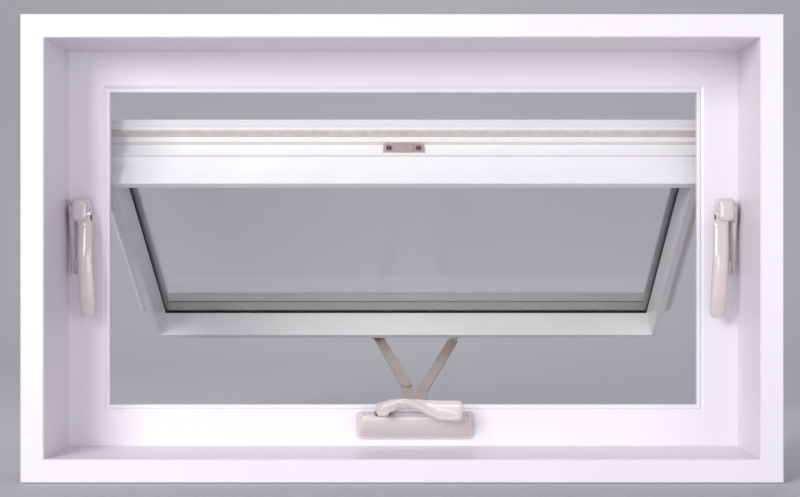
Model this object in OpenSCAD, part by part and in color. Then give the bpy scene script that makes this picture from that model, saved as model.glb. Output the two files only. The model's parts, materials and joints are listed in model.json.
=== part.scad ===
// Awning window with a crank operator: a mitred frame with its casing, and a sash that swings out at the bottom.
// Origin: middle of the sill's bottom face, in the wall plane. +Y points outdoors and +Z points up.

/* [Frame] */
// Outside width of the frame
frame_w = 913; // [860:1:1100]
// Outside height of the frame
frame_h = 550; // [550:1:620]
// Depth of the frame from its room face outwards
frame_d = 95; // [95:1:110]
// Width of the frame's face, from its outer edge to the opening
face_w = 69; // [67:1:72]
// Thickness of the frame's face leg
lip_t = 10; // [9:0.5:10]
// Thickness of the frame's outer leg
leg_t = 20.5; // [18:0.5:20.5]

/* [Casing] */
// Visible width of the casing boards
casing_w = 29; // [25:1:60]
// Thickness of the casing boards
casing_t = 18; // [12:1:22]
// Depth of the jamb extension, from the wall plane to the frame
reveal_d = 114; // [114:1:114]
// Thickness of the jamb extension boards
extension_t = 15; // [12:1:15]

/* [Sash] */
// Angle at which the open sash stands
open_angle = 58; // [0:1:58]
// Height of the flange beyond the sash's main part
flange_h = 35; // [35:1:35]
// Total thickness of the sash
sash_t = 80; // [80:1:80]
// Gap between the flange and the frame's outer leg
flange_gap = 4; // [4:0.5:6]

/* [Hinge] */
// Length of the support arm, and of its half of the sash arm
arm_a = 86; // [80:1:86]
// Depth of the shoe pivot behind the sash's room face
pivot_c = 48; // [48:1:50]
// Depth of the shoe pivot below the sash's top edge
pivot_s = 15; // [15:1:16]

/* [Operator] */
// Middle of the operator, across the window
operator_x = 14; // [-20:1:20]
// Length of a drive arm between its pivots
drive_l = 165.5; // [165:0.1:166]
// Distance of a sash bracket from the operator's middle
bracket_x = 60; // [60:1:60]
// Width of the drive arms and links
strap_w = 16; // [14:0.5:16]
// Middle of the crank's hub, across the window
hub_x = -26; // [-28:1:-24]
// Angle at which the crank's shaft leans
shaft_lean = 20; // [18:1:22]

/* [Hidden] */
$fn = 48;
zc = frame_h / 2;
inner_w = frame_w - 2 * extension_t;
inner_h = frame_h - 2 * extension_t;
face_y = reveal_d;
lip_y = face_y + lip_t;
opening_w = frame_w - 2 * face_w;
opening_h = frame_h - 2 * face_w;
leg_x = frame_w / 2 - leg_t;
// The flange's outer size, and the sash's main part inside it
flange_w = frame_w - 2 * (leg_t + flange_gap);
flange_hh = frame_h - 2 * (leg_t + flange_gap);
sash_w = flange_w - 2 * flange_h;
sash_h = flange_hh - 2 * flange_h;
sash_y = lip_y + 5;
bore_gap = 0.06;
// Hinge geometry, an equal-arm linkage on each jamb
pivot_y = sash_y + pivot_c;
shoe_closed = zc + sash_h / 2 - pivot_s;
shoe_z = shoe_closed - 2 * arm_a * (1 - cos(open_angle));
post_z = shoe_closed - 2 * arm_a;
knee_y = pivot_y + arm_a * sin(open_angle);
knee_z = post_z + arm_a * cos(open_angle);
groove_u = 28;
groove_x = flange_w / 2 - groove_u;
arm_screw_drops = [30, 130, 190, 250];
snubber_screw_xs = [-20, 20];
support_x = 414;
support_t = 2.5;
shoe_x = 426;
// Operator geometry: the straps lie in one plane, strap_drop below the tilt axis
tilt_y = 162;
tilt_z = zc - 234.5;
strap_drop = 11.5;
strap_t = 2.5;
strap_pitch = 3;
bracket_c = 15;
bracket_s = 30;
bracket_v = sash_h - pivot_s + bracket_s;
bracket_u = bracket_c - pivot_c;
bracket_open_y = pivot_y + bracket_u * cos(open_angle) + bracket_v * sin(open_angle);
bracket_open_z = shoe_z + bracket_u * sin(open_angle) - bracket_v * cos(open_angle);
bracket_closed_y = pivot_y + bracket_u;
link_l = sqrt(pow(drive_l + bracket_x, 2) + pow(tilt_y - bracket_closed_y, 2));
reach_y = bracket_open_y - tilt_y;
reach_z = bracket_open_z - tilt_z;
reach = sqrt(reach_y * reach_y + reach_z * reach_z - strap_drop * strap_drop);
tilt = atan2(reach_z, reach_y) + asin(strap_drop / sqrt(reach_y * reach_y + reach_z * reach_z));
span = sqrt(bracket_x * bracket_x + reach * reach);
drive_cos = (drive_l * drive_l + span * span - link_l * link_l) / (2 * drive_l * span);
drive_angle = atan2(reach, bracket_x) + acos(drive_cos);
elbow_x = drive_l * cos(drive_angle);
elbow_r = drive_l * sin(drive_angle);
link_angle = atan2(reach - elbow_r, bracket_x - elbow_x);
hub_z = zc - 206;
hub_y = 84;
shaft_y = 137;
shaft_z = zc - 227;
wheel_r = 11;
wheel_x = hub_x + 5.6 + wheel_r;
// Lock geometry, on the face of each jamb
lock_x = 424;
lever_x = 412;
lever_pivot_y = 92;
lever_pivot_z = zc + 44;
cam_y = 138;
cam_z = zc + 16;

// ---- shared shapes ----

// One side of a mitred ring of outer size w by h, centred on the origin. turn 0 is the bottom, 180 the top,
// 90 the left and -90 the right. Its section has u inwards from the outer edge and v outdoors.
module mitred(w, h, turn, d, y0, y1) {
    upright = abs(turn) == 90;
    length = upright ? h : w;
    half = upright ? w / 2 : h / 2;
    rotate([0, turn, 0])
    intersection() {
        translate([length / 2, 0, -half]) rotate([0, -90, 0]) linear_extrude(length) children();
        translate([0, y1, -half]) rotate([90, 0, 0]) linear_extrude(y1 - y0)
            polygon([[-length / 2, 0], [length / 2, 0], [length / 2 - d, d], [-length / 2 + d, d]]);
    }
}

// A rod along X between two places
module rod_x(x0, x1, r) {
    translate([x0, 0, 0]) rotate([0, 90, 0]) cylinder(h = x1 - x0, r = r);
}

// A rod along Y between two places
module rod_y(y0, y1, r) {
    translate([0, y0, 0]) rotate([-90, 0, 0]) cylinder(h = y1 - y0, r = r);
}

// Carries a shape drawn on the closed sash, room face at y = 0 and middle at z = 0, to its open place
module on_sash() {
    translate([0, pivot_y, shoe_z]) rotate([open_angle, 0, 0])
        translate([0, -pivot_c, pivot_s - sash_h / 2]) children();
}

// A shape drawn for the right side, or its mirror image for the left
module at_side(side) {
    if (side > 0) children();
    else mirror([1, 0, 0]) children();
}

// A strap in the x-y plane with round ends and an eye at each, from the origin along its angle
module strap(length, angle, w, t, hole_r) {
    rotate([0, 0, angle])
    difference() {
        union() {
            translate([0, -w / 2, -t / 2]) cube([length, w, t]);
            translate([0, 0, -t / 2]) cylinder(h = t, r = w / 2);
            translate([length, 0, -t / 2]) cylinder(h = t, r = w / 2);
        }
        translate([0, 0, -t]) cylinder(h = 2 * t, r = hole_r);
        translate([length, 0, -t]) cylinder(h = 2 * t, r = hole_r);
    }
}

// The strap plane at the open pose, with the origin at the drive arms' pivot
module on_straps() {
    translate([operator_x, tilt_y, tilt_z]) rotate([tilt, 0, 0])
        translate([0, 0, -strap_drop]) children();
}

// ---- casing and jamb extension ----

module casing_section() {
    edge = 1.5;
    polygon([[0, 0], [0, -casing_t + edge], [edge, -casing_t], [casing_w - edge, -casing_t],
        [casing_w, -casing_t + edge], [casing_w, 0]]);
}

module casing(turn) {
    color("white") translate([0, 0, zc])
        mitred(inner_w + 2 * casing_w, inner_h + 2 * casing_w, turn, casing_w, -casing_t, 0) casing_section();
}

module extension(turn) {
    color("white") translate([0, 0, zc])
        mitred(frame_w, frame_h, turn, extension_t, 0, reveal_d) square([extension_t, reveal_d]);
}

// ---- frame ----

module frame_section() {
    wall = 2.5;
    edge = 1.2;
    lip = 4.6;
    step = 2.2;
    difference() {
        polygon([[0, 0], [face_w - edge, 0], [face_w, edge], [face_w, lip_t - edge], [face_w - edge, lip_t],
            [leg_t, lip_t], [leg_t, frame_d], [0, frame_d]]);
        translate([leg_t + 3, wall]) square([face_w - leg_t - 12, lip_t - 2 * wall]);
        translate([wall, wall]) square([leg_t - 2 * wall, frame_d / 2 - 1.5 * wall]);
        translate([wall, frame_d / 2 + wall / 2]) square([leg_t - 2 * wall, frame_d / 2 - 1.5 * wall]);
        polygon([[face_w - 2 * lip, 0], [face_w - 2 * lip, -1], [face_w - lip, -1], [face_w - lip, step]]);
    }
}

module frame_side(turn) {
    translate([0, face_y, zc]) mitred(frame_w, frame_h, turn, face_w, 0, frame_d) frame_section();
}

screw_zs = [zc - 150, zc + 245];
screw_r = 2.6;
screw_y = face_y + 28;

module frame_jamb(side) {
    color("white")
    difference() {
        frame_side(side > 0 ? -90 : 90);
        at_side(side) {
            // installation screw holes through the outer leg
            for (z = screw_zs) translate([0, screw_y, z]) rod_x(leg_x - 1, frame_w / 2 + 1, screw_r);
            // pilot holes for the hinge screws
            for (z = track_screw_zs) translate([0, pivot_y, z]) rod_x(leg_x - 1, leg_x + 13, 1.6);
            // slot for the lock case
            translate([lock_x - 8, face_y - 1, cam_z - 16]) cube([16, lip_t + 2, 32]);
        }
    }
}

module frame_head() {
    color("white") frame_side(180);
}

module frame_sill() {
    color("white")
    difference() {
        frame_side(0);
        translate([hub_x - 10, face_y - 1, tilt_z - 2]) cube([20, lip_t + 2, 24]);
    }
}

module frame_seal() {
    w = opening_w + 9;
    h = opening_h + 9;
    color("gainsboro") translate([0, lip_y, zc])
        for (turn = [0, 90, 180, -90]) mitred(w, h, turn, 4, 0, 1.8) square([4, 1.8]);
}

// ---- hinges ----

track_z0 = post_z - 24;
track_z1 = shoe_closed + 24;
track_x = leg_x - 3;

track_screw_zs = [track_z0 + 8, zc + 110, track_z1 - 8];

module hinge_screws() {
    color("silver")
    for (side = [-1, 1], z = track_screw_zs) at_side(side) translate([0, pivot_y, z]) {
        rod_x(leg_x - 1.3, leg_x + 12, 1.55);
        rod_x(leg_x - 1.3, leg_x - 0.05, 2.15);
    }
}

module hinge_track(side) {
    color("silver") at_side(side)
    difference() {
        union() {
            translate([leg_x - 1.5, pivot_y - 11, track_z0]) cube([1.5, 22, track_z1 - track_z0]);
            for (y = [pivot_y - 11, pivot_y + 9.4])
                translate([track_x, y, track_z0]) cube([3, 1.6, track_z1 - track_z0]);
            translate([0, pivot_y, post_z]) rod_x(support_x - 1, leg_x - 1, 4);
            translate([0, pivot_y, post_z]) rod_x(support_x + support_t + 0.4, leg_x - 1, 7);
            translate([0, pivot_y, post_z]) rod_x(support_x - 1.8, support_x - 0.4, 6);
        }
        for (z = track_screw_zs)
            translate([0, pivot_y, z]) rod_x(leg_x - 3, leg_x + 1, 2.2);
    }
}

module hinge_shoe(side) {
    length = 34;
    color("ivory") at_side(side)
    difference() {
        union() {
            translate([shoe_x, pivot_y - 8, shoe_z - length / 2]) cube([7.5, 16, length]);
            translate([shoe_x + 7, pivot_y - 8.8, shoe_z - length / 2]) cube([1.2, 17.6, length]);
        }
        translate([0, pivot_y, shoe_z]) rod_x(shoe_x - 1, leg_x, 4 + bore_gap);
    }
}

module support_arm(side) {
    color("silver") at_side(side)
    difference() {
        translate([0, pivot_y, post_z]) rotate([-open_angle, 0, 0]) {
            translate([support_x, -8, 0]) cube([support_t, 16, arm_a]);
            rod_x(support_x, support_x + support_t, 8);
            translate([0, 0, arm_a]) rod_x(support_x, support_x + support_t, 8);
        }
        translate([0, pivot_y, post_z]) rod_x(support_x - 1, support_x + support_t + 1, 4 + bore_gap);
        translate([0, knee_y, knee_z]) rod_x(support_x - 1, support_x + support_t + 1, 4 + bore_gap);
    }
}

// The sash arm lies in the groove of the stile and carries the shoe stud and the knee rivet
module sash_arm(side) {
    length = 280;
    top = sash_h / 2 - pivot_s;
    color("silver") at_side(side) on_sash()
    difference() {
        union() {
            translate([groove_x, pivot_c - 5.5, top + 10 - length]) cube([2.8, 13, length]);
            translate([0, pivot_c, top]) rod_x(groove_x + 1, shoe_x + 5, 4);
            translate([0, pivot_c, top - arm_a]) rod_x(groove_x + 1, support_x + support_t + 1, 4);
            translate([0, pivot_c, top - arm_a]) rod_x(groove_x + 1, support_x - 0.4, 6);
            translate([0, pivot_c, top - arm_a])
                rod_x(support_x + support_t + 0.4, support_x + support_t + 1.8, 6);
        }
        for (drop = arm_screw_drops)
            translate([0, pivot_c, top - drop]) rod_x(groove_x - 1, groove_x + 4, 2.2);
    }
}

// ---- sash ----

module sash_section() {
    difference() {
        polygon([[35, 0], [45, 0], [48.8, 22], [43, 22], [43, 30], [38, 30], [38, 62], [52, 62], [52, 78],
            [50, sash_t], [0, sash_t], [0, 72], [5, 70], [5, 67.5], [20, 67.5], [20, 58],
            [groove_u, 58], [groove_u, 42], [23, 42], [23, 38], [27, 38], [35, 30]]);
        translate([37.5, 2.5]) square([4, 17]);
        translate([8, 70.5]) square([40, 7]);
        translate([30.5, 36]) square([5, 25]);
    }
}

module sash_side(turn) {
    mitred(flange_w, flange_hh, turn, 52, 0, sash_t) sash_section();
}

module sash_head_rail() {
    color("white") on_sash()
    difference() {
        sash_side(180);
        for (x = snubber_screw_xs)
            translate([x, 50, flange_hh / 2 - groove_u - 8]) cylinder(h = 10, r = 1.6);
    }
}

module sash_bottom_rail() {
    color("white") on_sash() sash_side(0);
}

module sash_stile(side) {
    color("white") on_sash()
    difference() {
        sash_side(side > 0 ? -90 : 90);
        at_side(side)
            for (drop = arm_screw_drops)
                translate([0, pivot_c, sash_h / 2 - pivot_s - drop]) rod_x(groove_x - 7, groove_x + 1, 1.6);
    }
}

module glazing_bead(turn) {
    color("white") on_sash()
        mitred(flange_w, flange_hh, turn, 52, 0, sash_t)
            polygon([[43, 22], [48.8, 22], [51.2, 36], [40, 36], [40, 30], [43, 30]]);
}

module glass_pane(y) {
    edge = 40;
    w = flange_w - 2 * edge;
    h = flange_hh - 2 * edge;
    color("lightblue", 0.3) on_sash() translate([-w / 2, y, -h / 2]) cube([w, 4, h]);
}

module glass_ring(u0, u1, v0, v1) {
    for (turn = [0, 90, 180, -90])
        mitred(flange_w, flange_hh, turn, u1, v0, v1) translate([u0, v0]) square([u1 - u0, v1 - v0]);
}

module spacer_bar() {
    color("silver") on_sash() glass_ring(48, 56, 41.5, 55.5);
}

module edge_sealant() {
    color("dimgray") on_sash() glass_ring(40, 48, 41.5, 55.5);
}

module glazing_gasket() {
    color("black") on_sash() {
        glass_ring(45, 52.5, 36, 37.5);
        glass_ring(44, 52.5, 59.5, 62);
    }
}

module setting_blocks() {
    color("dimgray") on_sash()
    for (x = [-250, 220], top = [0, 1])
        translate([x, 37.5, top == 1 ? flange_hh / 2 - 40 : -flange_hh / 2 + 38]) cube([30, 22, 2]);
}

module sash_seal() {
    color("tan") on_sash() glass_ring(6, 19, 65.8, 67.5);
}

module snubber_plate() {
    floor_z = flange_hh / 2 - groove_u;
    color("tan") on_sash()
    difference() {
        union() {
            translate([-27.5, 42.3, floor_z]) cube([55, 15.4, 4]);
            translate([-13.5, 42.3, floor_z + 3]) cube([27, 15.4, 5]);
        }
        for (x = snubber_screw_xs) translate([x, 50, floor_z - 1]) cylinder(h = 6, r = 2.2);
        translate([-9, 46, floor_z + 5.5]) cube([18, 8, 3]);
    }
}

module sash_screws() {
    floor_z = flange_hh / 2 - groove_u;
    color("silver") on_sash() {
        for (x = snubber_screw_xs) translate([x, 50, floor_z]) {
            translate([0, 0, -7]) cylinder(h = 11.2, r = 1.55);
            translate([0, 0, 4]) cylinder(h = 1.8, r = 3.6);
        }
        for (side = [-1, 1], drop = arm_screw_drops) at_side(side)
            translate([0, pivot_c, sash_h / 2 - pivot_s - drop]) {
                rod_x(groove_x - 6, groove_x + 3, 1.55);
                rod_x(groove_x + 2.8, groove_x + 4.2, 3.6);
            }
    }
}

// ---- operator ----

// Places the leaning shaft, with the origin in the gear box
module on_shaft() {
    translate([hub_x, shaft_y, shaft_z]) rotate([-shaft_lean, 0, 0]) children();
}

// The gear box behind the sill's face, with two ears that hold the arm carrier's trunnions
module operator_housing() {
    floor_z = tilt_z - 3.4;
    back_y = lip_y + 0.5;
    ear = 4;
    ear_xs = [operator_x - 20, operator_x + 16];
    color("gray") {
        difference() {
            union() {
                translate([hub_x - 14, back_y, floor_z]) cube([operator_x - hub_x + 34, 25, 19]);
                for (x = ear_xs) translate([x, back_y, floor_z]) cube([ear, tilt_y + 4 - back_y, 8]);
            }
            translate([hub_x - 10, back_y + 1, floor_z + 2]) cube([44, 23, 15]);
            on_shaft() rod_y(-40, 14, 5 + bore_gap);
            for (x = ear_xs) translate([0, tilt_y, tilt_z]) rod_x(x - 1, x + ear + 1, 2.5 + bore_gap);
        }
        translate([wheel_x, shaft_y, floor_z + 1]) cylinder(h = 17, r = 3);
    }
}

module worm_shaft() {
    color("silver") on_shaft() rod_y(-50, 10, 5);
}

module worm_wheel() {
    color("goldenrod")
    translate([wheel_x, shaft_y, tilt_z - 0.8])
    difference() {
        cylinder(h = 12, r = wheel_r);
        translate([0, 0, -1]) cylinder(h = 15, r = 3 + bore_gap);
    }
}

module arm_carrier() {
    color("dimgray")
    translate([operator_x, tilt_y, tilt_z]) rotate([tilt, 0, 0]) {
        translate([-15, -5.5, -4.6]) cube([30, 11, 8.4]);
        rod_x(-20, 20, 2.5);
        translate([0, 0, -strap_drop - 3.2]) cylinder(h = 12, r = 4);
        translate([0, 0, -strap_drop - 4.4]) cylinder(h = 1.2, r = 4.8);
    }
}

// side 1 reaches the right bracket, and its strap lies below the left one's
module drive_arm(side) {
    color("tan") on_straps() at_side(side)
        translate([0, 0, -side * strap_pitch / 2])
        strap(drive_l, drive_angle, strap_w, strap_t, 4 + bore_gap);
}

module drive_link(side) {
    color("tan") on_straps() at_side(side)
    union() {
        translate([elbow_x, elbow_r, -side * strap_pitch * 1.5])
            strap(link_l, link_angle, strap_w, strap_t, 2.5);
        translate([elbow_x, elbow_r, -side * strap_pitch * 1.5 - strap_t / 2])
            cylinder(h = strap_t, r = 3.9);
        translate([elbow_x, elbow_r, side > 0 ? -strap_pitch * 1.5 : -strap_t / 2 + strap_pitch / 2])
            cylinder(h = strap_pitch + strap_t / 2, r = 4);
    }
}

// The bracket on the bottom rail holds the link's eye from above; its stud stops short of the strap
module sash_bracket(side) {
    x = operator_x + side * bracket_x;
    z = -sash_h / 2;
    color("dimgray") on_sash() translate([x, 0, 0])
    difference() {
        union() {
            translate([side > 0 ? -5 : -18, 4, z - 3]) cube([23, 24, 3]);
            translate([side > 0 ? -5 : -9, 6, z - 13]) cube([14, 16, 11]);
        }
        for (dy = [-7, 8]) translate([side * 14, bracket_c + dy, z - 4]) cylinder(h = 5, r = 1.8);
    }
}

// A block with a wide back and a narrower, lower front, all its corners round
module cover_shape(w, h, depth, inset, r) {
    hull() {
        for (x = [-w / 2 + r, w / 2 - r], z = [-h / 2 + r, h / 2 - r])
            translate([x, 0, z]) rotate([90, 0, 0]) cylinder(h = 3, r = r, $fn = 32);
        for (x = [-w / 2 + r + inset, w / 2 - r - inset], z = [-h / 2 + r + inset, h / 2 - r - 1])
            translate([x, -depth + r, z]) sphere(r = r - 1, $fn = 32);
    }
}

module operator_cover() {
    w = 156;
    h = 38;
    depth = 24;
    wall = 2.5;
    x = 15.5;
    z = zc - 233;
    color("antiquewhite")
    difference() {
        translate([x, face_y, z]) cover_shape(w, h, depth, 6, 5);
        translate([x, face_y + 0.02, z]) cover_shape(w - 2 * wall, h - 2 * wall, depth - wall, 6, 4);
        translate([hub_x - 13, face_y - 60, zc - 226.5]) cube([26, 60, 40]);
        translate([hub_x, face_y - 60, zc - 217]) cube([134, 44, 30]);
    }
}

module crank_hub() {
    color("antiquewhite")
    difference() {
        translate([hub_x, 0, hub_z]) {
            translate([-9, hub_y - 1, -13]) cube([18, 20, 19]);
            translate([-4, hub_y - 13, -9.8]) cube([8, 13, 13.6]);
        }
        on_shaft() rod_y(-51, -20, 5 + bore_gap);
        translate([hub_x, hub_y - 7, hub_z - 12]) cylinder(h = 20, r = 2 + bore_gap);
    }
}

// The lever folds about an upright pin at the hub; folded, it lies along the cover
module crank_lever() {
    pin_y = hub_y - 7;
    color("antiquewhite")
    difference() {
        union() {
            translate([hub_x, pin_y, hub_z]) {
                for (z = [-14, 4.3]) translate([0, 0, z]) cylinder(h = 3.7, r = 6);
                translate([0, 0, -14]) cylinder(h = 22, r = 2);
            }
            hull() {
                translate([hub_x + 12, pin_y - 2, hub_z - 10]) rotate([0, 90, 0])
                    cylinder(h = 1, r = 4, $fn = 24);
                translate([hub_x + 12, pin_y - 2, hub_z + 4]) rotate([0, 90, 0])
                    cylinder(h = 1, r = 4, $fn = 24);
                translate([hub_x + 50, pin_y - 4, hub_z - 2]) sphere(r = 6, $fn = 24);
            }
            hull() {
                translate([hub_x + 50, pin_y - 4, hub_z - 2]) sphere(r = 6, $fn = 24);
                translate([hub_x + 82, pin_y, hub_z - 3]) rod_y(-6, 2, 13);
                translate([hub_x + 96, pin_y, hub_z - 3]) rod_y(-6, 2, 13);
            }
            for (z = [-14, 4.3])
                translate([hub_x, pin_y - 5, hub_z + z]) cube([14, 6, 3.7]);
        }
        translate([hub_x + 92, pin_y, hub_z - 3]) rod_y(-2, 3, 3.06);
    }
}

module crank_knob() {
    pin_y = hub_y - 7;
    color("antiquewhite") translate([hub_x + 92, pin_y, hub_z - 3]) {
        rod_y(-1.5, 4, 3);
        rod_y(2.4, 14, 7.5);
    }
}

// ---- locks ----

module lock_case(side) {
    cap_z = zc + 34;
    color("antiquewhite") at_side(side)
    difference() {
        union() {
            translate([lock_x - 11, face_y - 6, zc - 34]) cube([22, 6, 100]);
            translate([lock_x - 11, face_y - 32, cap_z]) cube([22, 27, 32]);
            translate([lock_x - 7, face_y - 1, cam_z - 15]) cube([14, lip_t + 4, 30]);
            translate([lock_x - 4, lip_y, cam_z - 15]) cube([10, 24, 30]);
        }
        translate([lock_x - 14, face_y - 50, cap_z - 1]) cube([15, 45, 29]);
        translate([0, lever_pivot_y, lever_pivot_z]) rod_x(lock_x - 12, lock_x + 8, 3 + bore_gap);
        translate([0, cam_y, cam_z]) rod_x(lock_x - 8, lock_x + 7, 3 + bore_gap);
    }
}

module lock_lever(side) {
    color("antiquewhite") at_side(side) {
        translate([0, lever_pivot_y, lever_pivot_z]) {
            rod_x(lever_x - 6, lock_x + 7, 3);
            rod_x(lever_x - 6, lock_x + 0.6, 7.5);
        }
        translate([lever_x - 6, lever_pivot_y - 6, zc + 10]) cube([18, 9, 34]);
        hull() {
            for (x = [lever_x - 5.5, lever_x + 5.5], z = [zc + 28, zc - 86])
                translate([x, lever_pivot_y - 8, z]) rod_y(0, 9, 5);
        }
    }
}

module lock_cam(side) {
    x = lever_x + 1;
    color("silver") at_side(side) translate([0, cam_y, cam_z]) {
        rod_x(x, lock_x + 5, 3);
        rod_x(x, x + 5, 7);
        translate([x, -4, -10]) cube([5, 8, 10]);
    }
}

casing(180);  // casing_head
casing(0);  // casing_sill
casing(90);  // casing_left
casing(-90);  // casing_right
extension(180);  // extension_head
extension(0);  // extension_sill
extension(90);  // extension_left
extension(-90);  // extension_right
frame_head();
frame_sill();
frame_jamb(-1);  // frame_jamb_left
frame_jamb(1);  // frame_jamb_right
frame_seal();
hinge_screws();
hinge_track(-1);  // hinge_track_left
hinge_track(1);  // hinge_track_right
hinge_shoe(-1);  // hinge_shoe_left
hinge_shoe(1);  // hinge_shoe_right
support_arm(-1);  // support_arm_left
support_arm(1);  // support_arm_right
sash_arm(-1);  // sash_arm_left
sash_arm(1);  // sash_arm_right
sash_head_rail();
sash_bottom_rail();
sash_stile(-1);  // sash_stile_left
sash_stile(1);  // sash_stile_right
glazing_bead(180);  // glazing_bead_head
glazing_bead(0);  // glazing_bead_bottom
glazing_bead(90);  // glazing_bead_left
glazing_bead(-90);  // glazing_bead_right
glass_pane(37.5);  // glass_inner
glass_pane(55.5);  // glass_outer
spacer_bar();
edge_sealant();
glazing_gasket();
setting_blocks();
sash_seal();
snubber_plate();
sash_screws();
operator_housing();
operator_cover();
worm_shaft();
worm_wheel();
arm_carrier();
drive_arm(-1);  // drive_arm_left
drive_arm(1);  // drive_arm_right
drive_link(-1);  // drive_link_left
drive_link(1);  // drive_link_right
sash_bracket(-1);  // sash_bracket_left
sash_bracket(1);  // sash_bracket_right
crank_hub();
crank_lever();
crank_knob();
lock_case(-1);  // lock_case_left
lock_case(1);  // lock_case_right
lock_lever(-1);  // lock_lever_left
lock_lever(1);  // lock_lever_right
lock_cam(-1);  // lock_cam_left
lock_cam(1);  // lock_cam_right
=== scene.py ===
import json
import math

import bmesh
import bpy
from mathutils import Matrix, Vector


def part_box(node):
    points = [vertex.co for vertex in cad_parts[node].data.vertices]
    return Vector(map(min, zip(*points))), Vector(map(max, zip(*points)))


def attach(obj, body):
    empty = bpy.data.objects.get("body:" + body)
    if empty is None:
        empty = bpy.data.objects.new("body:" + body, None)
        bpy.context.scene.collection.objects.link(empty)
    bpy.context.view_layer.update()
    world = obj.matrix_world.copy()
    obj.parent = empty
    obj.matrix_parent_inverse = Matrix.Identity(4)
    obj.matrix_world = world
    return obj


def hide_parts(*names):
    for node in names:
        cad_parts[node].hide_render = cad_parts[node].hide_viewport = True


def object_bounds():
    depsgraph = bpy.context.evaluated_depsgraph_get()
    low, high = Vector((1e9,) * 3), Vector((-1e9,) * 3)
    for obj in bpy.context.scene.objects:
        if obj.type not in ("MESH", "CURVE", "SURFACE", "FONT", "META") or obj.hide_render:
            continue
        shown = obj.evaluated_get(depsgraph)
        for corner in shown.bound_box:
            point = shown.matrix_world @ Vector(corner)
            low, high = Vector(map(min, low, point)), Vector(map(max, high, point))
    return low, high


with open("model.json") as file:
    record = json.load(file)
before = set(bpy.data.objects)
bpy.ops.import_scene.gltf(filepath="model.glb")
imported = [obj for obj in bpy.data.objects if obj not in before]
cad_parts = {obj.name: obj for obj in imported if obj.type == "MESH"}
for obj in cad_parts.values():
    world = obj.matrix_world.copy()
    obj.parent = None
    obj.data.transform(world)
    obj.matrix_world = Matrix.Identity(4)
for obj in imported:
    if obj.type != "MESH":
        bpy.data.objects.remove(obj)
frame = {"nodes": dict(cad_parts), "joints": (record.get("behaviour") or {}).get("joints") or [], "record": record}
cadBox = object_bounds()
nodes = frame["nodes"]
joints = {joint["name"]: joint for joint in frame["joints"]}
print("frame loaded:", len(nodes), "nodes")

finishes = {
    "paintedTrim": dict(colour=(0.80, 0.775, 0.83), vary=0.012, scale=9, roughness=0.38, bump=0.00012,
                        bumpScale=260, stretch=(1, 1, 1), coat=0.15),
    "whiteVinyl": dict(colour=(0.83, 0.805, 0.86), vary=0.010, scale=6, roughness=0.34, bump=0.00006,
                       bumpScale=420, stretch=(1, 1, 1), coat=0.10),
    # a darker, more neutral copy of the white vinyl for the sash, standing for the shade the sash sits in: painted
    # shade
    "shadedSashVinyl": dict(colour=(0.79, 0.785, 0.79), vary=0.02, scale=11, roughness=0.33, bump=0.00006,
                      bumpScale=420, stretch=(1, 1, 1), coat=0.12),
    "whiteSeal": dict(colour=(0.70, 0.69, 0.72), vary=0.03, scale=30, roughness=0.7, bump=0.0003,
                      bumpScale=700, stretch=(1, 1, 1)),
    "tanSeal": dict(colour=(0.68, 0.60, 0.58), vary=0.08, scale=90, roughness=0.9, bump=0.0006,
                    bumpScale=900, stretch=(1, 1, 1), sheen=0.5),
    "blackRubber": dict(colour=(0.012, 0.012, 0.013), vary=0.3, scale=40, roughness=0.55, bump=0.0002,
                        bumpScale=500, stretch=(1, 1, 1)),
    "spacerMetal": dict(colour=(0.52, 0.53, 0.51), vary=0.05, scale=25, roughness=0.35, bump=0.0001,
                        bumpScale=600, stretch=(1, 1, 1), metallic=0.9),
    # snubber plate's beige, darkened to stand for the shade the plate sits in: painted shade
    "shadedBeigePlastic": dict(colour=(0.40, 0.31, 0.30), vary=0.02, scale=40, roughness=0.28, bump=0.00005,
                         bumpScale=500, stretch=(1, 1, 1), coat=0.3),
    "shoePlastic": dict(colour=(0.60, 0.56, 0.48), vary=0.02, scale=40, roughness=0.45, bump=0.00008,
                        bumpScale=600, stretch=(1, 1, 1)),
    "hardwareGloss": dict(colour=(0.68, 0.61, 0.605), vary=0.015, scale=18, roughness=0.16, bump=0.00004,
                          bumpScale=160, stretch=(1, 1, 1), coat=0.7),
    "armMetal": dict(colour=(0.44, 0.385, 0.345), vary=0.10, scale=35, roughness=0.42, bump=0.00015,
                     bumpScale=420, stretch=(1, 1, 1), metallic=0.2),
    "darkMetal": dict(colour=(0.035, 0.03, 0.03), vary=0.2, scale=40, roughness=0.5, bump=0.0002,
                      bumpScale=400, stretch=(1, 1, 1), metallic=0.4),
    "gearBrass": dict(colour=(0.55, 0.38, 0.12), vary=0.08, scale=60, roughness=0.32, bump=0.0001,
                      bumpScale=600, stretch=(1, 1, 8), metallic=1.0),
    # snubber screw heads: steel darkened to stand for the shade and dark reflections on them, painted shade and
    # painted reflection
    "shadedScrewSteel": dict(colour=(0.16, 0.13, 0.14), vary=0.06, scale=30, roughness=0.22, bump=0.00005,
                       bumpScale=500, stretch=(1, 1, 1), metallic=1.0),
    "brightSteel": dict(colour=(0.50, 0.50, 0.51), vary=0.06, scale=30, roughness=0.30, bump=0.00012,
                        bumpScale=500, stretch=(1, 1, 0.06), metallic=1.0),
}


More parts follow.
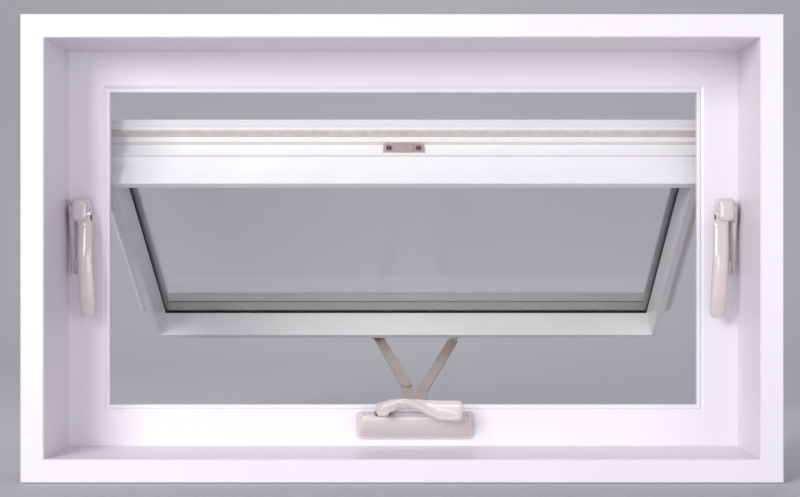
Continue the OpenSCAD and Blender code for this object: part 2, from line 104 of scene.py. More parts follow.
def buildFinish(name, s):
    material = bpy.data.materials.new(name)
    material.use_nodes = True
    tree = material.node_tree
    shader = tree.nodes["Principled BSDF"]
    coords = tree.nodes.new("ShaderNodeTexCoord")
    mapping = tree.nodes.new("ShaderNodeMapping")
    mapping.inputs["Scale"].default_value = s["stretch"]
    tree.links.new(coords.outputs["Object"], mapping.inputs["Vector"])
    tone = tree.nodes.new("ShaderNodeTexNoise")
    tone.inputs["Scale"].default_value = s["scale"]
    tone.inputs["Detail"].default_value = 5
    grain = tree.nodes.new("ShaderNodeTexNoise")
    grain.inputs["Scale"].default_value = s["bumpScale"]
    grain.inputs["Detail"].default_value = 3
    for noise in (tone, grain):
        tree.links.new(mapping.outputs["Vector"], noise.inputs["Vector"])
    ramp = tree.nodes.new("ShaderNodeValToRGB")
    ramp.color_ramp.elements[0].position = 0.3
    ramp.color_ramp.elements[1].position = 0.7
    for element, sign in zip(ramp.color_ramp.elements, (-1, 1)):
        element.color = [min(1, c * (1 + sign * s["vary"])) for c in s["colour"]] + [1]
    tree.links.new(tone.outputs["Fac"], ramp.inputs["Fac"])
    tree.links.new(ramp.outputs["Color"], shader.inputs["Base Color"])
    rough = tree.nodes.new("ShaderNodeMapRange")
    rough.inputs["To Min"].default_value = s["roughness"] * 0.85
    rough.inputs["To Max"].default_value = s["roughness"] * 1.15
    tree.links.new(tone.outputs["Fac"], rough.inputs["Value"])
    tree.links.new(rough.outputs["Result"], shader.inputs["Roughness"])
    bump = tree.nodes.new("ShaderNodeBump")
    bump.inputs["Distance"].default_value = s["bump"]
    bump.inputs["Strength"].default_value = 0.6
    tree.links.new(grain.outputs["Fac"], bump.inputs["Height"])
    tree.links.new(bump.outputs["Normal"], shader.inputs["Normal"])
    shader.inputs["Metallic"].default_value = s.get("metallic", 0)
    shader.inputs["Coat Weight"].default_value = s.get("coat", 0)
    shader.inputs["Coat Roughness"].default_value = 0.08
    shader.inputs["Sheen Weight"].default_value = s.get("sheen", 0)
    return material


def buildGlass():
    material = buildFinish("clearGlass", dict(colour=(0.985, 0.995, 0.99), vary=0.002, scale=3,
                                              roughness=0.012, bump=0.00001, bumpScale=4, stretch=(1, 1, 1)))
    shader = material.node_tree.nodes["Principled BSDF"]
    shader.inputs["Transmission Weight"].default_value = 1.0
    shader.inputs["IOR"].default_value = 1.45
    return material


materials = {name: buildFinish(name, s) for name, s in finishes.items()}
materials["clearGlass"] = buildGlass()

slotFinish = {
    "painted_trim": "paintedTrim", "white_vinyl": "whiteVinyl", "white_seal": "whiteSeal",
    "tan_seal": "tanSeal", "black_rubber": "blackRubber", "clear_glass": "clearGlass",
    "spacer_metal": "spacerMetal", "beige_plastic": "shadedBeigePlastic", "shoe_plastic": "shoePlastic",
    "hardware_gloss": "hardwareGloss", "arm_metal": "armMetal", "dark_metal": "darkMetal",
    "gear_brass": "gearBrass", "bright_steel": "brightSteel",
}
sashVinylNodes = ("sash_head_rail", "sash_bottom_rail", "sash_stile_left", "sash_stile_right",
                  "glazing_bead_head", "glazing_bead_bottom", "glazing_bead_left", "glazing_bead_right")

# the sash parts take the shaded copy of the white vinyl: painted shade
for part in frame["record"]["subparts"]:
    finish = "shadedSashVinyl" if part["node"] in sashVinylNodes else slotFinish[part["material_slot"]]
    mesh = nodes[part["node"]].data
    mesh.materials.clear()
    mesh.materials.append(materials[finish])
print("materials set")


def roundedRect(width, height, radius, steps=8):
    points = []
    radius = min(radius, width / 2, height / 2)
    for corner, (sx, sz) in enumerate(((1, 1), (-1, 1), (-1, -1), (1, -1))):
        for i in range(steps + 1):
            angle = math.pi / 2 * (corner + i / steps)
            points.append((sx * (width / 2 - radius) + radius * math.cos(angle),
                           sz * (height / 2 - radius) + radius * math.sin(angle)))
    return points


def superEllipse(halfA, halfB, power=2.6, steps=28):
    points = []
    for i in range(steps):
        angle = 2 * math.pi * i / steps
        c, s = math.cos(angle), math.sin(angle)
        points.append((halfA * math.copysign(abs(c) ** (2 / power), c),
                       halfB * math.copysign(abs(s) ** (2 / power), s)))
    return points


def addLoft(bm, rings):
    rows = [[bm.verts.new(point) for point in ring] for ring in rings]
    count = len(rows[0])
    for low, high in zip(rows, rows[1:]):
        for i in range(count):
            bm.faces.new((low[i], low[(i + 1) % count], high[(i + 1) % count], high[i]))
    bm.faces.new(rows[0][::-1])
    bm.faces.new(rows[-1])


def addBox(bm, low, high):
    made = bmesh.ops.create_cube(bm, size=1)["verts"]
    middle = (Vector(low) + Vector(high)) / 2
    size = Vector(high) - Vector(low)
    for vert in made:
        vert.co = Vector([vert.co[i] * size[i] + middle[i] for i in range(3)])
    return made


def addRod(bm, start, end, radius, steps=32):
    start, end = Vector(start), Vector(end)
    turn = (end - start).to_track_quat("Z", "Y").to_matrix().to_4x4()
    place = Matrix.Translation((start + end) / 2) @ turn
    bmesh.ops.create_cone(bm, cap_ends=True, segments=steps, radius1=radius, radius2=radius,
                          depth=(end - start).length, matrix=place)


def makePiece(name, bm, finish, smoothAngle=35):
    bmesh.ops.recalc_face_normals(bm, faces=bm.faces)
    mesh = bpy.data.meshes.new(name)
    bm.to_mesh(mesh)
    bm.free()
    mesh.materials.append(materials[finish])
    mesh.shade_smooth()
    mesh.set_sharp_from_angle(angle=math.radians(smoothAngle))
    piece = bpy.data.objects.new(name, mesh)
    bpy.context.scene.collection.objects.link(piece)
    return piece


def install(piece, body, slot, *replaced):
    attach(piece, body)
    if replaced:
        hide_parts(*replaced)
    return piece


def smoothStep(value, low, high):
    t = max(0.0, min(1.0, (value - low) / (high - low)))
    return t * t * (3 - 2 * t)


def curveAt(stations, x):
    # smooth value through a short list of (x, value) stations
    for (x0, v0), (x1, v1) in zip(stations, stations[1:]):
        if x <= x1:
            t = smoothStep(x, x0, x1)
            return v0 + (v1 - v0) * t
    return stations[-1][1]


viewing = dict(distance=1.967, sideStep=0.022, focalPixels=1490, imageWidth=800, sensor=36,
               axisOffset=-0.025)
stageStyle = dict(floorDrop=0.0006, frontY=-3.5, backdropY=2.6, curve=0.8, curveSteps=12,
                  rise=4.5, halfWidth=6)


def buildCamera(s):
    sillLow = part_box("frame_sill")[0]
    middleZ = (sillLow.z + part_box("frame_head")[1].z) / 2
    data = bpy.data.cameras.new("Camera")
    data.sensor_width = s["sensor"]
    data.lens = s["sensor"] * s["focalPixels"] / s["imageWidth"]
    data.shift_x = s["axisOffset"]
    data.clip_end = 50
    camera = bpy.data.objects.new("Camera", data)
    camera.location = (s["sideStep"], sillLow.y - s["distance"], middleZ)
    camera.rotation_euler = (math.radians(90), 0, 0)
    bpy.context.scene.collection.objects.link(camera)
    bpy.context.scene.camera = camera


def buildStage(s):
    bm = bmesh.new()
    low = cadBox[0]
    floorZ = low.z - s["floorDrop"]
    profile = [(s["frontY"], floorZ)]
    radius = s["curve"]
    for i in range(s["curveSteps"] + 1):
        angle = math.pi / 2 * i / s["curveSteps"]
        profile.append((s["backdropY"] - radius + radius * math.sin(angle),
                        floorZ + radius - radius * math.cos(angle)))
    profile.append((s["backdropY"], floorZ + s["rise"]))
    rows = [[bm.verts.new((x, y, z)) for y, z in profile] for x in (-s["halfWidth"], s["halfWidth"])]
    for i in range(len(profile) - 1):
        bm.faces.new((rows[0][i], rows[1][i], rows[1][i + 1], rows[0][i + 1]))  # faces up and to the room
    mesh = bpy.data.meshes.new("floor")
    bm.to_mesh(mesh)
    bm.free()
    mesh.shade_smooth()
    pale = buildFinish("paleFloor", dict(colour=(0.50, 0.50, 0.52), vary=0.01, scale=2, roughness=0.8,
                                         bump=0.0002, bumpScale=50, stretch=(1, 1, 1)))
    # seen from behind, the curved backdrop lets the view through
    tree = pale.node_tree
    clear = tree.nodes.new("ShaderNodeBsdfTransparent")
    facing = tree.nodes.new("ShaderNodeNewGeometry")
    mix = tree.nodes.new("ShaderNodeMixShader")
    tree.links.new(facing.outputs["Backfacing"], mix.inputs["Fac"])
    tree.links.new(tree.nodes["Principled BSDF"].outputs["BSDF"], mix.inputs[1])
    tree.links.new(clear.outputs["BSDF"], mix.inputs[2])
    tree.links.new(mix.outputs["Shader"], tree.nodes["Material Output"].inputs["Surface"])
    mesh.materials.append(pale)
    floor = bpy.data.objects.new("floor", mesh)
    bpy.context.scene.collection.objects.link(floor)


lamps = {
    "keyLeft": dict(place=(-1.5, -2.3, 1.25), aim=(0, 0.1, 0.25), size=1.3, power=62,
                    colour=(1.0, 0.985, 0.98)),
    "fillRight": dict(place=(1.7, -2.2, 0.35), aim=(0, 0.1, 0.25), size=1.6, power=20,
                      colour=(0.97, 0.97, 1.0)),
    "lowFront": dict(place=(0.1, -2.6, 0.12), aim=(0, 0.1, 0.2), size=1.0, power=13,
                     colour=(1, 0.98, 1)),
    "skyBehind": dict(place=(0.3, 1.7, 2.6), aim=(0, 0.4, 0.2), size=1.6, power=26,
                      colour=(0.97, 0.98, 1.0)),
}


def buildLamps(skyStrength, skyColour):
    for name, s in lamps.items():
        data = bpy.data.lights.new(name, "AREA")
        data.size = s["size"]
        data.energy = s["power"]
        data.color = s["colour"]
        lamp = bpy.data.objects.new(name, data)
        lamp.location = s["place"]
        lamp.rotation_euler = (Vector(s["aim"]) - Vector(s["place"])).to_track_quat("-Z", "Y").to_euler()
        bpy.context.scene.collection.objects.link(lamp)
    world = bpy.data.worlds.new("Studio")
    world.use_nodes = True
    world.node_tree.nodes["Background"].inputs["Color"].default_value = skyColour
    world.node_tree.nodes["Background"].inputs["Strength"].default_value = skyStrength
    bpy.context.scene.world = world
    bpy.context.scene.view_settings.view_transform = "Standard"


buildCamera(viewing)
buildStage(stageStyle)
buildLamps(skyStrength=0.36, skyColour=(0.95, 0.94, 1.0, 1))
print("camera, floor and light set")

coverLow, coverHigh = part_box("operator_cover")
hubLow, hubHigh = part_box("crank_hub")
hubX = (hubLow.x + hubHigh.x) / 2
foldPin = Vector(joints["crank_fold"]["pos_m"])
knobPin = Vector(joints["knob_spin"]["pos_m"])
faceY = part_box("frame_sill")[0].y
openAngle = math.radians(joints["sash_drive"]["range_deg"][1])
shoePivot = Vector(joints["shoe_turn_right"]["pos_m"])
sashFrame = dict(pivotDepth=0.048, pivotDrop=0.015, flange=0.035)


def sashPlace():
    # carries points from the sash's own axes, with the shoe pivot at the origin, to where the open sash is
    centre = Vector((0, shoePivot.y, shoePivot.z))
    return Matrix.Translation(centre) @ Matrix.Rotation(openAngle, 4, "X")


coverStyle = dict(
    corner=0.0075,
    # depth from the sill's face, and how far the bottom, the sides and the top have drawn in by then
    profile=[(0.0002, 0.0008, 0.0004, 0.0006), (0.0024, 0.0008, 0.0004, 0.0006),
             (0.0030, 0.0012, 0.0008, 0.0008), (0.0034, 0.0034, 0.0022, 0.0010),
             (0.0060, 0.0050, 0.0030, 0.0011), (0.0100, 0.0080, 0.0036, 0.0013),
             (0.0140, 0.0118, 0.0043, 0.0016), (0.0180, 0.0165, 0.0053, 0.0020),
             (0.0210, 0.0208, 0.0068, 0.0027), (0.0228, 0.0243, 0.0090, 0.0040),
             (0.0236, 0.0270, 0.0120, 0.0056), (0.0240, 0.0292, 0.0170, 0.0080)],
    smoothLevels=2, notchHalf=0.0100, notchDepth=0.0054, notchFront=0.06, notchBack=0.01, notchAbove=0.02)


def buildCover(s):
    width = coverHigh.x - coverLow.x
    height = coverHigh.z - coverLow.z
    middle = (coverLow + coverHigh) / 2
    bm = bmesh.new()
    rings = []
    for depth, bottom, side, top in s["profile"]:
        corner = min(s["corner"], (height - bottom - top) / 2)
        rings.append([Vector((middle.x + x, faceY - depth, middle.z + (bottom - top) / 2 + z))
                      for x, z in roundedRect(width - 2 * side, height - bottom - top, corner)])
    addLoft(bm, rings)
    cover = makePiece("operatorCover", bm, "hardwareGloss", 40)
    smoothing = cover.modifiers.new("Smoothing", "SUBSURF")
    smoothing.levels = smoothing.render_levels = s["smoothLevels"]
    notch = bmesh.new()
    addBox(notch, (hubX - s["notchHalf"], faceY - s["notchFront"], coverHigh.z - s["notchDepth"]),
           (hubX + s["notchHalf"], faceY + s["notchBack"], coverHigh.z + s["notchAbove"]))
    cutter = makePiece("coverNotch", notch, "hardwareGloss")
    cut = cover.modifiers.new("Notch", "BOOLEAN")
    cut.operation = "DIFFERENCE"
    cut.object = cutter
    depsgraph = bpy.context.evaluated_depsgraph_get()
    shaped = bpy.data.meshes.new_from_object(cover.evaluated_get(depsgraph))
    cover.modifiers.clear()
    cover.data = shaped
    bpy.data.objects.remove(cutter)
    return install(cover, "frame", "hardware_gloss", "operator_cover")


buildCover(coverStyle)

# along the folded lever, from the fold pin to the paddle: distance, then height, half thickness or bow
leverStyle = dict(
    top=[(-0.0060, 0.0045), (-0.001, 0.0078), (0.011, 0.0112), (0.024, 0.0126), (0.043, 0.0112),
         (0.060, 0.0098), (0.080, 0.0094), (0.1035, 0.0092)],
    bottom=[(-0.0060, -0.0100), (0.002, -0.0115), (0.012, -0.0050), (0.023, 0.0020), (0.036, 0.0),
            (0.048, -0.0050), (0.061, -0.0122), (0.074, -0.0170), (0.090, -0.0176), (0.1035, -0.0174)],
    ridge=[(-0.0060, 0.0), (0.011, 0.005), (0.022, 0.0095), (0.034, 0.0080), (0.048, 0.0015),
           (0.060, -0.0060), (0.072, -0.0125), (0.090, -0.0145), (0.1035, -0.0145)],
    thick=[(-0.0060, 0.0020), (-0.0035, 0.0042), (0.001, 0.0058), (0.020, 0.0056), (0.060, 0.0048),
           (0.1035, 0.0046)],
    bow=[(-0.0060, 0.0), (0.010, 0.0015), (0.028, 0.0050), (0.060, 0.0020), (0.1035, 0.0)],
    ridgeHeight=0.0038, ridgeWidth=0.0042, ridgeFade=0.020, endRound=0.0058, endTaper=0.85, endThin=0.35,
    forward=0.001, squareness=3.4, ringSteps=44, stations=72)


def buildLever(s):
    bm = bmesh.new()
    rings = []
    start, end = s["top"][0][0], s["top"][-1][0]
    for i in range(s["stations"] + 1):
        t = i / s["stations"]
        x = start + (end - start) * (0.5 - 0.5 * math.cos(math.pi * t))
        fromEnd = min(x - start, end - x) / s["endRound"]
        tuck = s["endRound"] * (1 - math.sqrt(max(0, 1 - (1 - fromEnd) ** 2))) if fromEnd < 1 else 0
        top = curveAt(s["top"], x) - tuck * s["endTaper"]
        bottom = curveAt(s["bottom"], x) + tuck * s["endTaper"]
        thick = curveAt(s["thick"], x) - tuck * s["endThin"]
        bow = curveAt(s["bow"], x)
        ridge = curveAt(s["ridge"], x)
        centre = (top + bottom) / 2
        ringPoints = []
        for across, up in superEllipse(thick, (top - bottom) / 2, s["squareness"], s["ringSteps"]):
            z = centre + up
            front = smoothStep(-across, -0.2 * thick, 0.7 * thick)
            rise = s["ridgeHeight"] * front * math.exp(-((z - ridge) / s["ridgeWidth"]) ** 2)
            rise *= smoothStep(end - x, 0.0, s["ridgeFade"])
            y = foldPin.y - s["forward"] - bow + across - rise
            ringPoints.append(Vector((foldPin.x + x, y, foldPin.z + z)))
        rings.append(ringPoints)
    addLoft(bm, rings)
    lever = makePiece("crankLever", bm, "hardwareGloss", 65)
    return install(lever, "crank_lever", "hardware_gloss", "crank_lever")


hubStyle = dict(
    corner=0.006, pinBelow=0.0095, pinAbove=0.0035, pinRadius=0.0042,
    # depth towards the room, and the share of the full outline there
    profile=[(0.0, 0.90), (0.0015, 0.97), (0.004, 1.0), (0.014, 1.0), (0.0175, 0.97), (0.0192, 0.86)])


def buildHub(s):
    bm = bmesh.new()
    width, height = hubHigh.x - hubLow.x, hubHigh.z - hubLow.z
    middleZ = (hubLow.z + hubHigh.z) / 2
    rings = []
    for depth, scale in s["profile"]:
        y = hubHigh.y - depth
        rings.append([Vector((hubX + x, y, middleZ + z))
                      for x, z in roundedRect(width * scale, height * scale, s["corner"] * scale)])
    addLoft(bm, rings)
    addRod(bm, (hubX, foldPin.y, foldPin.z - s["pinBelow"]), (hubX, foldPin.y, foldPin.z + s["pinAbove"]),
           s["pinRadius"])
    hub = makePiece("crankHub", bm, "hardwareGloss", 40)
    return install(hub, "frame", "hardware_gloss", "crank_hub")


knobStyle = dict(
    # radius and depth
    profile=[(0.0020, 0.0), (0.0030, -0.0012), (0.0035, 0.0028), (0.0060, 0.0036), (0.0074, 0.0056),
             (0.0078, 0.0085), (0.0076, 0.0112), (0.0064, 0.0130), (0.0040, 0.0138)], steps=32)


def buildKnob(s):
    bm = bmesh.new()
    rings = []
    for radius, depth in s["profile"]:
        rings.append([Vector((knobPin.x + radius * math.cos(2 * math.pi * i / s["steps"]), knobPin.y + depth,
                              knobPin.z + radius * math.sin(2 * math.pi * i / s["steps"])))
                      for i in range(s["steps"])])
    addLoft(bm, rings)
    knob = makePiece("crankKnob", bm, "hardwareGloss", 45)
    return install(knob, "crank_knob", "hardware_gloss", "crank_knob")


buildLever(leverStyle)
buildHub(hubStyle)
buildKnob(knobStyle)
print("operator cover and crank built")

lockStyle = dict(
    plateWidth=0.021, plateCorner=0.0085,
    # plate and cap: depth towards the room, and how far the outline has drawn in there
    plateProfile=[(0.0, 0), (0.0034, 0), (0.0045, 0.0005), (0.005, 0.0016)],
    capWidth=0.0225, capHeight=0.0315, capShift=0.0024, capCorner=0.0062,
    capProfile=[(0.003, 0), (0.012, 0.0001), (0.022, 0.0003), (0.0275, 0.0010), (0.0300, 0.0022),
                (0.0314, 0.0042), (0.0318, 0.0068)],
    capLean=0.35, capNarrowing=1.6, capLowering=1.4,
    # the rib below the cap, on its outer side: height above the plate's foot, and depth
    rib=[(0.0, 0.0075), (0.004, 0.0095), (0.030, 0.0120), (0.055, 0.0175), (0.075, 0.0250), (0.088, 0.0290)],
    ribWidth=[(0.0, 0.0022), (0.010, 0.0032), (0.060, 0.0040), (0.088, 0.0062)],
    ribEdge=0.0132, ribFoot=0.001, ribSteps=24,
    catchShift=0.0042, catchDepth=0.012, catchFoot=0.005, catchTop=0.017, catchRadius=0.0022,
    caseHalf=0.007, caseFront=0.001, caseBack=0.013, caseFoot=0.036, caseTop=0.064,
    rearInner=0.004, rearOuter=0.006, rearFront=0.010,
    half=[(0.0, 0.0096), (0.006, 0.0100), (0.030, 0.0102), (0.085, 0.0106), (0.108, 0.0104), (0.1175, 0.0092),
          (0.1215, 0.0074), (0.1240, 0.0046)],
    thick=[(0.0, 0.0052), (0.010, 0.0068), (0.060, 0.0072), (0.100, 0.0062), (0.1175, 0.0052),
           (0.1240, 0.0028)],
    bow=[(0.0, 0.0), (0.045, 0.0060), (0.090, 0.0048), (0.1240, -0.0006)],
    lean=0.0022, leverForward=0.0025, stations=44,
    tongueInner=0.005, tongueOuter=0.0115, tongueFront=0.0055, tongueBack=0.0028, tongueDrop=0.030,
    knuckleRadius=0.0072)


def buildLockCase(side, s):
    name = "left" if side < 0 else "right"
    low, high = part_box("lock_case_" + name)
    middleX = (low.x + high.x) / 2
    bm = bmesh.new()
    # long plate on the jamb
    plateHeight = high.z - low.z
    rings = []
    for depth, inset in s["plateProfile"]:
        outline = roundedRect(s["plateWidth"] - 2 * inset, plateHeight - 2 * inset, s["plateCorner"])
        rings.append([Vector((middleX + x, faceY - depth, (low.z + high.z) / 2 + z)) for x, z in outline])
    addLoft(bm, rings)
    # cap over the lever's knuckle, its outer shoulder sloping into the rib
    capZ = high.z - s["capHeight"] / 2
    capX = middleX - side * s["capShift"]
    rings = []
    for depth, inset in s["capProfile"]:
        outline = roundedRect(s["capWidth"] - s["capNarrowing"] * inset,
                              s["capHeight"] - s["capLowering"] * inset, s["capCorner"])
        rings.append([Vector((capX + x - side * inset * s["capLean"], faceY - depth, capZ + z))
                      for x, z in outline])
    addLoft(bm, rings)
    rings = []
    for i in range(s["ribSteps"] + 1):
        rise = s["rib"][-1][0] * i / s["ribSteps"]
        depth, half = curveAt(s["rib"], rise), curveAt(s["ribWidth"], rise)
        ribX = middleX + side * (s["ribEdge"] - half)
        outline = superEllipse(half, depth / 2, 3.0, 28)
        ribZ = low.z + s["ribFoot"] + rise
        rings.append([Vector((ribX + x, faceY - depth / 2 + y, ribZ)) for x, y in outline])
    addLoft(bm, rings)
    # small catch beside the lever
    catchX, catchY = middleX + side * s["catchShift"], faceY - s["catchDepth"]
    addRod(bm, (catchX, catchY, low.z + s["catchFoot"]), (catchX, catchY, low.z + s["catchTop"]),
           s["catchRadius"])
    # case behind the jamb's face
    caseLow, caseHigh = low.z + s["caseFoot"], low.z + s["caseTop"]
    addBox(bm, (middleX - s["caseHalf"], faceY - s["caseFront"], caseLow),
           (middleX + s["caseHalf"], faceY + s["caseBack"], caseHigh))
    rearLow, rearHigh = sorted((middleX - side * s["rearInner"], middleX + side * s["rearOuter"]))
    addBox(bm, (rearLow, faceY + s["rearFront"], caseLow), (rearHigh, high.y, caseHigh))
    case = makePiece("lockCase." + name, bm, "hardwareGloss", 40)
    return install(case, "frame", "hardware_gloss", "lock_case_" + name)


def buildLockLever(side, s):
    name = "left" if side < 0 else "right"
    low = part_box("lock_lever_" + name)[0]
    pivot = Vector(joints["lock_swing_" + name]["pos_m"])
    bm = bmesh.new()
    length = s["half"][-1][0]
    rings = []
    for i in range(s["stations"] + 1):
        t = i / s["stations"]
        drop = length * (0.5 - 0.5 * math.cos(math.pi * t))
        half, thick, bow = curveAt(s["half"], drop), curveAt(s["thick"], drop), curveAt(s["bow"], drop)
        lean = s["lean"] * (1 - 2 * drop / length)
        x, y = pivot.x + side * lean, pivot.y - s["leverForward"] - bow
        rings.append([Vector((x + a, y + b, low.z + length - drop))
                      for a, b in superEllipse(half, thick, 2.7, 36)])
    addLoft(bm, rings)
    # tongue and knuckle inside the cap
    inner, outer = sorted((pivot.x - side * s["tongueInner"], pivot.x + side * s["tongueOuter"]))
    addBox(bm, (inner, pivot.y - s["tongueFront"], pivot.z - s["tongueDrop"]),
           (outer, pivot.y + s["tongueBack"], pivot.z))
    addRod(bm, (inner, pivot.y, pivot.z), (outer, pivot.y, pivot.z), s["knuckleRadius"])
    lever = makePiece("lockLever." + name, bm, "hardwareGloss", 60)
    return install(lever, "lock_lever_" + name, "hardware_gloss", "lock_lever_" + name)


for side in (-1, 1):
    buildLockCase(side, lockStyle)
    buildLockLever(side, lockStyle)
print("locks built")


def newTree(name, sockets):
    tree = bpy.data.node_groups.new(name, "GeometryNodeTree")
    tree.interface.new_socket("Geometry", in_out="INPUT", socket_type="NodeSocketGeometry")
    for label, kind in sockets:
        tree.interface.new_socket(label, in_out="INPUT", socket_type=kind)
    tree.interface.new_socket("Geometry", in_out="OUTPUT", socket_type="NodeSocketGeometry")
    return tree


def socketId(tree, label):
    for item in tree.interface.items_tree:
        if item.name == label and item.in_out == "INPUT":
            return item.identifier


def closeTree(tree, instances, source, output):
    realize = tree.nodes.new("GeometryNodeRealizeInstances")
    paint = tree.nodes.new("GeometryNodeSetMaterial")
    smooth = tree.nodes.new("GeometryNodeSetShadeSmooth")
    smooth.inputs["Shade Smooth"].default_value = False
    tree.links.new(instances, realize.inputs["Geometry"])
    tree.links.new(realize.outputs["Geometry"], smooth.inputs["Geometry"])
    tree.links.new(smooth.outputs["Geometry"], paint.inputs["Geometry"])
    tree.links.new(source.outputs["Material"], paint.inputs["Material"])
    tree.links.new(paint.outputs["Geometry"], output.inputs["Geometry"])


def buildRibTree():
    # a row of small ribs, from Start in even steps
    tree = newTree("ribRow", [("Count", "NodeSocketInt"), ("Start", "NodeSocketVector"),
                              ("Step", "NodeSocketVector"), ("Rib Size", "NodeSocketVector"),
                              ("Material", "NodeSocketMaterial")])
    source = tree.nodes.new("NodeGroupInput")
    output = tree.nodes.new("NodeGroupOutput")
    line = tree.nodes.new("GeometryNodeMeshLine")
    rib = tree.nodes.new("GeometryNodeMeshCube")
    scatter = tree.nodes.new("GeometryNodeInstanceOnPoints")
    tree.links.new(source.outputs["Count"], line.inputs["Count"])
    tree.links.new(source.outputs["Start"], line.inputs["Start Location"])
    tree.links.new(source.outputs["Step"], line.inputs["Offset"])
    tree.links.new(source.outputs["Rib Size"], rib.inputs["Size"])
    tree.links.new(line.outputs["Mesh"], scatter.inputs["Points"])
    tree.links.new(rib.outputs["Mesh"], scatter.inputs["Instance"])
    closeTree(tree, scatter.outputs["Instances"], source, output)
    return tree


def buildScrewTree():
    # a tapered, cross-slotted screw head on every point, standing along Z
    tree = newTree("screwHeads", [("Radius", "NodeSocketFloat"), ("Height", "NodeSocketFloat"),
                                  ("Slot Width", "NodeSocketFloat"), ("Material", "NodeSocketMaterial")])
    source = tree.nodes.new("NodeGroupInput")
    output = tree.nodes.new("NodeGroupOutput")
    head = tree.nodes.new("GeometryNodeMeshCone")
    head.inputs["Vertices"].default_value = 32
    top = tree.nodes.new("ShaderNodeMath")
    top.operation = "MULTIPLY"
    top.inputs[1].default_value = 0.72
    tree.links.new(source.outputs["Radius"], top.inputs[0])
    tree.links.new(source.outputs["Radius"], head.inputs["Radius Bottom"])
    tree.links.new(top.outputs["Value"], head.inputs["Radius Top"])
    tree.links.new(source.outputs["Height"], head.inputs["Depth"])
    length = tree.nodes.new("ShaderNodeMath")
    length.operation = "MULTIPLY"
    length.inputs[1].default_value = 1.1
    tree.links.new(source.outputs["Radius"], length.inputs[0])
    cutter = tree.nodes.new("GeometryNodeMeshBoolean")
    cutter.operation = "DIFFERENCE"
    tree.links.new(head.outputs["Mesh"], cutter.inputs["Mesh 1"])
    for alongX in (True, False):
        size = tree.nodes.new("ShaderNodeCombineXYZ")
        slotCube = tree.nodes.new("GeometryNodeMeshCube")
        shift = tree.nodes.new("GeometryNodeTransform")
        lift = tree.nodes.new("ShaderNodeCombineXYZ")
        tree.links.new(source.outputs["Height"], lift.inputs["Z"])
        tree.links.new(length.outputs["Value"], size.inputs["X" if alongX else "Y"])
        tree.links.new(source.outputs["Slot Width"], size.inputs["Y" if alongX else "X"])
        tree.links.new(source.outputs["Height"], size.inputs["Z"])
        tree.links.new(size.outputs["Vector"], slotCube.inputs["Size"])
        tree.links.new(slotCube.outputs["Mesh"], shift.inputs["Geometry"])
        tree.links.new(lift.outputs["Vector"], shift.inputs["Translation"])
        tree.links.new(shift.outputs["Geometry"], cutter.inputs["Mesh 2"])
    scatter = tree.nodes.new("GeometryNodeInstanceOnPoints")
    tree.links.new(source.outputs["Geometry"], scatter.inputs["Points"])
    tree.links.new(cutter.outputs["Mesh"], scatter.inputs["Instance"])
    closeTree(tree, scatter.outputs["Instances"], source, output)
    return tree


def growPiece(name, points, tree, values, place=Matrix.Identity(4)):
    base = bpy.data.meshes.new(name + "Base")
    base.from_pydata([Vector(point) for point in points], [], [])
    carrier = bpy.data.objects.new(name + "Base", base)
    bpy.context.scene.collection.objects.link(carrier)
    growing = carrier.modifiers.new("Nodes", "NODES")
    growing.node_group = tree
    for label, value in values.items():
        growing[socketId(tree, label)] = value
    depsgraph = bpy.context.evaluated_depsgraph_get()
    mesh = bpy.data.meshes.new_from_object(carrier.evaluated_get(depsgraph))
    mesh.name = name
    mesh.transform(place)
    carrier.modifiers.remove(growing)
    bpy.data.objects.remove(carrier)
    piece = bpy.data.objects.new(name, mesh)
    bpy.context.scene.collection.objects.link(piece)
    return piece


ribTree = buildRibTree()
screwTree = buildScrewTree()

spacerStyle = dict(pitch=0.0042, ribWidth=0.0012, ribRise=0.0005, ribDepth=0.0118, uInner=0.056,
                   depth=0.0485, ribInset=0.004)


def buildSpacerRibs(s):
    stile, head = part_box("sash_stile_right"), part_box("sash_head_rail")
    halfWidth = stile[1].x - s["uInner"]
    halfHeight = 0.5 * (sashHeightOuter() - 2 * s["uInner"])
    depth = s["depth"] - sashFrame["pivotDepth"]
    middle = sashMiddle()
    pieces = []
    place = sashPlace()
    for side in (-1, 1):
        count = int(2 * (halfWidth - s["ribInset"]) / s["pitch"])
        start = (-(count - 1) * s["pitch"] / 2, depth, middle + side * halfHeight)
        pieces.append(growPiece("spacerRibs.rail" + str(side + 1), [(0, 0, 0)], ribTree, {
            "Count": count, "Start": start, "Step": (s["pitch"], 0, 0),
            "Rib Size": (s["ribWidth"], s["ribDepth"], 2 * s["ribRise"]),
            "Material": materials["spacerMetal"]}, place))
        count = int(2 * (halfHeight - s["ribInset"]) / s["pitch"])
        start = (side * halfWidth, depth, middle - (count - 1) * s["pitch"] / 2)
        pieces.append(growPiece("spacerRibs.stile" + str(side + 1), [(0, 0, 0)], ribTree, {
            "Count": count, "Start": start, "Step": (0, 0, s["pitch"]),
            "Rib Size": (2 * s["ribRise"], s["ribDepth"], s["ribWidth"]),
            "Material": materials["spacerMetal"]}, place))
    for piece in pieces:
        install(piece, "sash", "spacer_metal")


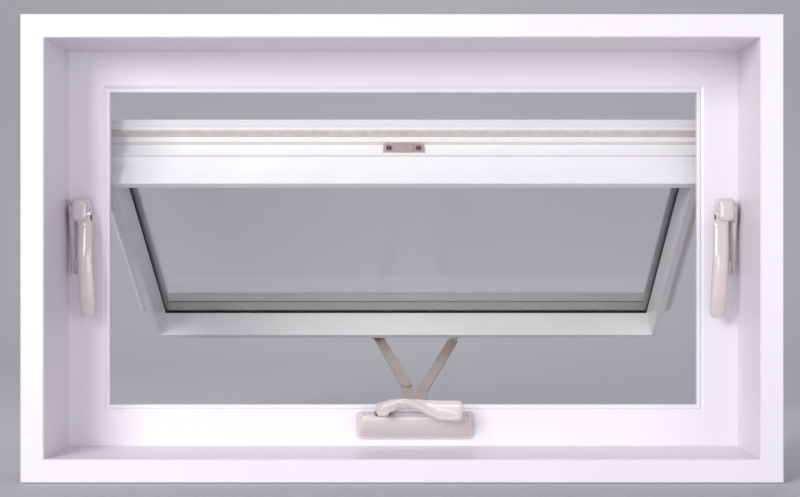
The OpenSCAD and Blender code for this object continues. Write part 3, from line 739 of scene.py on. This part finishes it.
def sashHeightOuter():
    # true height of the tilted sash, from the width of its jamb gap: the same gap all round the frame
    frameLow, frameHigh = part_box("frame_jamb_left")[0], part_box("frame_jamb_right")[1]
    gap = frameHigh.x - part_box("sash_stile_right")[1].x
    return (frameHigh.z - frameLow.z) - 2 * gap


def sashMiddle():
    # height of the sash's middle in its own axes, measured from the shoe pivot
    mainHeight = sashHeightOuter() - 2 * sashFrame["flange"]
    return -(mainHeight / 2 - sashFrame["pivotDrop"])


buildSpacerRibs(spacerStyle)

snubberStyle = dict(width=0.055, depth=0.0154, base=0.004, boss=0.026, bossRise=0.0016, screwAt=0.020,
                    floorU=0.028, grooveC=0.050, screwRadius=0.0040, screwHeight=0.0014, slotWidth=0.0009,
                    baseCorner=0.0035, bossCorner=0.004,
                    edge=[(0.0012, 0), (0.0004, 0.0004), (0.0, 0.0014)])  # below the top, and drawn in


def buildSnubber(s):
    floorZ = sashMiddle() + sashHeightOuter() / 2 - s["floorU"]
    y = s["grooveC"] - sashFrame["pivotDepth"]
    place = sashPlace()
    bm = bmesh.new()
    steps = ((s["width"], s["base"], s["baseCorner"]),
             (s["boss"], s["base"] + s["bossRise"], s["bossCorner"]))
    for width, height, corner in steps:
        rings = []
        for rise, inset in [(0.0, 0)] + [(height - below, inset) for below, inset in s["edge"]]:
            rings.append([place @ Vector((x, y + v, floorZ + rise))
                          for x, v in roundedRect(width - 2 * inset, s["depth"] - 2 * inset, corner)])
        addLoft(bm, rings)
    # the plate takes the darkened beige: painted shade
    plate = makePiece("snubberPlate", bm, "shadedBeigePlastic", 40)
    install(plate, "sash", "beige_plastic", "snubber_plate")
    points = [(x, y, floorZ + s["base"] + s["screwHeight"] / 2) for x in (-s["screwAt"], s["screwAt"])]
    # the screw heads take the darkened steel: painted shade
    screws = growPiece("snubberScrews", points, screwTree, {
        "Radius": s["screwRadius"], "Height": s["screwHeight"], "Slot Width": s["slotWidth"],
        "Material": materials["shadedScrewSteel"]}, place)
    install(screws, "sash", "bright_steel")


buildSnubber(snubberStyle)
print("spacer ribs and snubber built")
